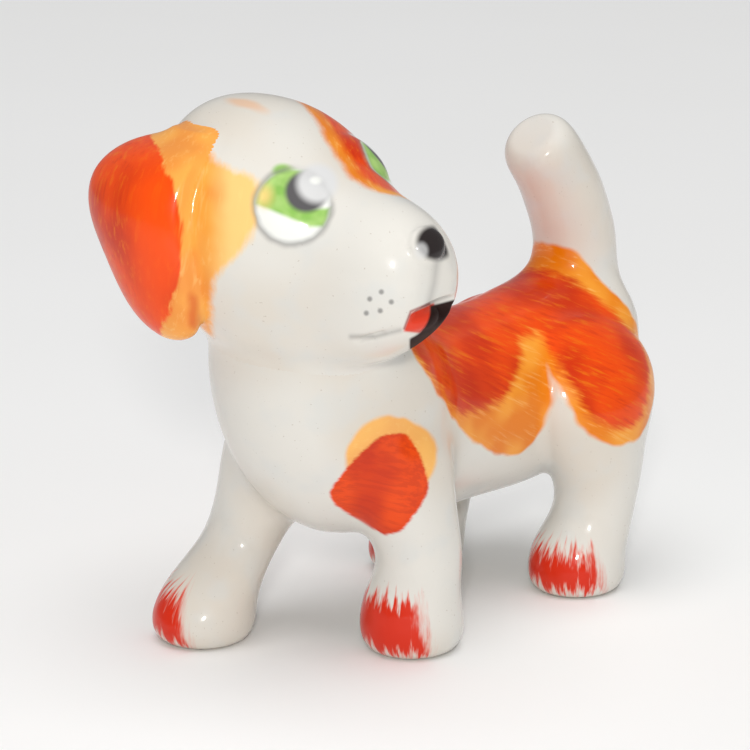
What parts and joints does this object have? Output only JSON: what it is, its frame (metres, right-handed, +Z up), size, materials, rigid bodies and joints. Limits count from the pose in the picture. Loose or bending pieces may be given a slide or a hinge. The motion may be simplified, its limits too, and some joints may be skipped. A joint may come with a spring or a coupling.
{
  "type": "ceramic dog figurine",
  "caption": "Glazed porcelain puppy standing on four paws, head turned to its left, hanging ears, raised tail and hand-painted orange patches.",
  "frame": {"origin": "middle of the object's footprint box, on the surface it stands on", "axes": "+Z up; the puppy walks towards -Y and looks over its left shoulder towards +X"},
  "size_m": [0.067, 0.1178, 0.1037],
  "materials": {
    "painted_glaze": "clear gloss glaze over white porcelain, with hand-painted orange, yellow, green, red and black",
    "ear_glaze": "clear gloss glaze over brushed orange-red paint"
  },
  "bodies": {
    "root": {"torso": "painted_glaze", "head": "painted_glaze", "tail": "painted_glaze", "leg_front_left": "painted_glaze", "leg_front_right": "painted_glaze", "leg_rear_left": "painted_glaze", "leg_rear_right": "painted_glaze", "ear_left": "ear_glaze", "ear_right": "ear_glaze"}
  },
  "joints": []
}
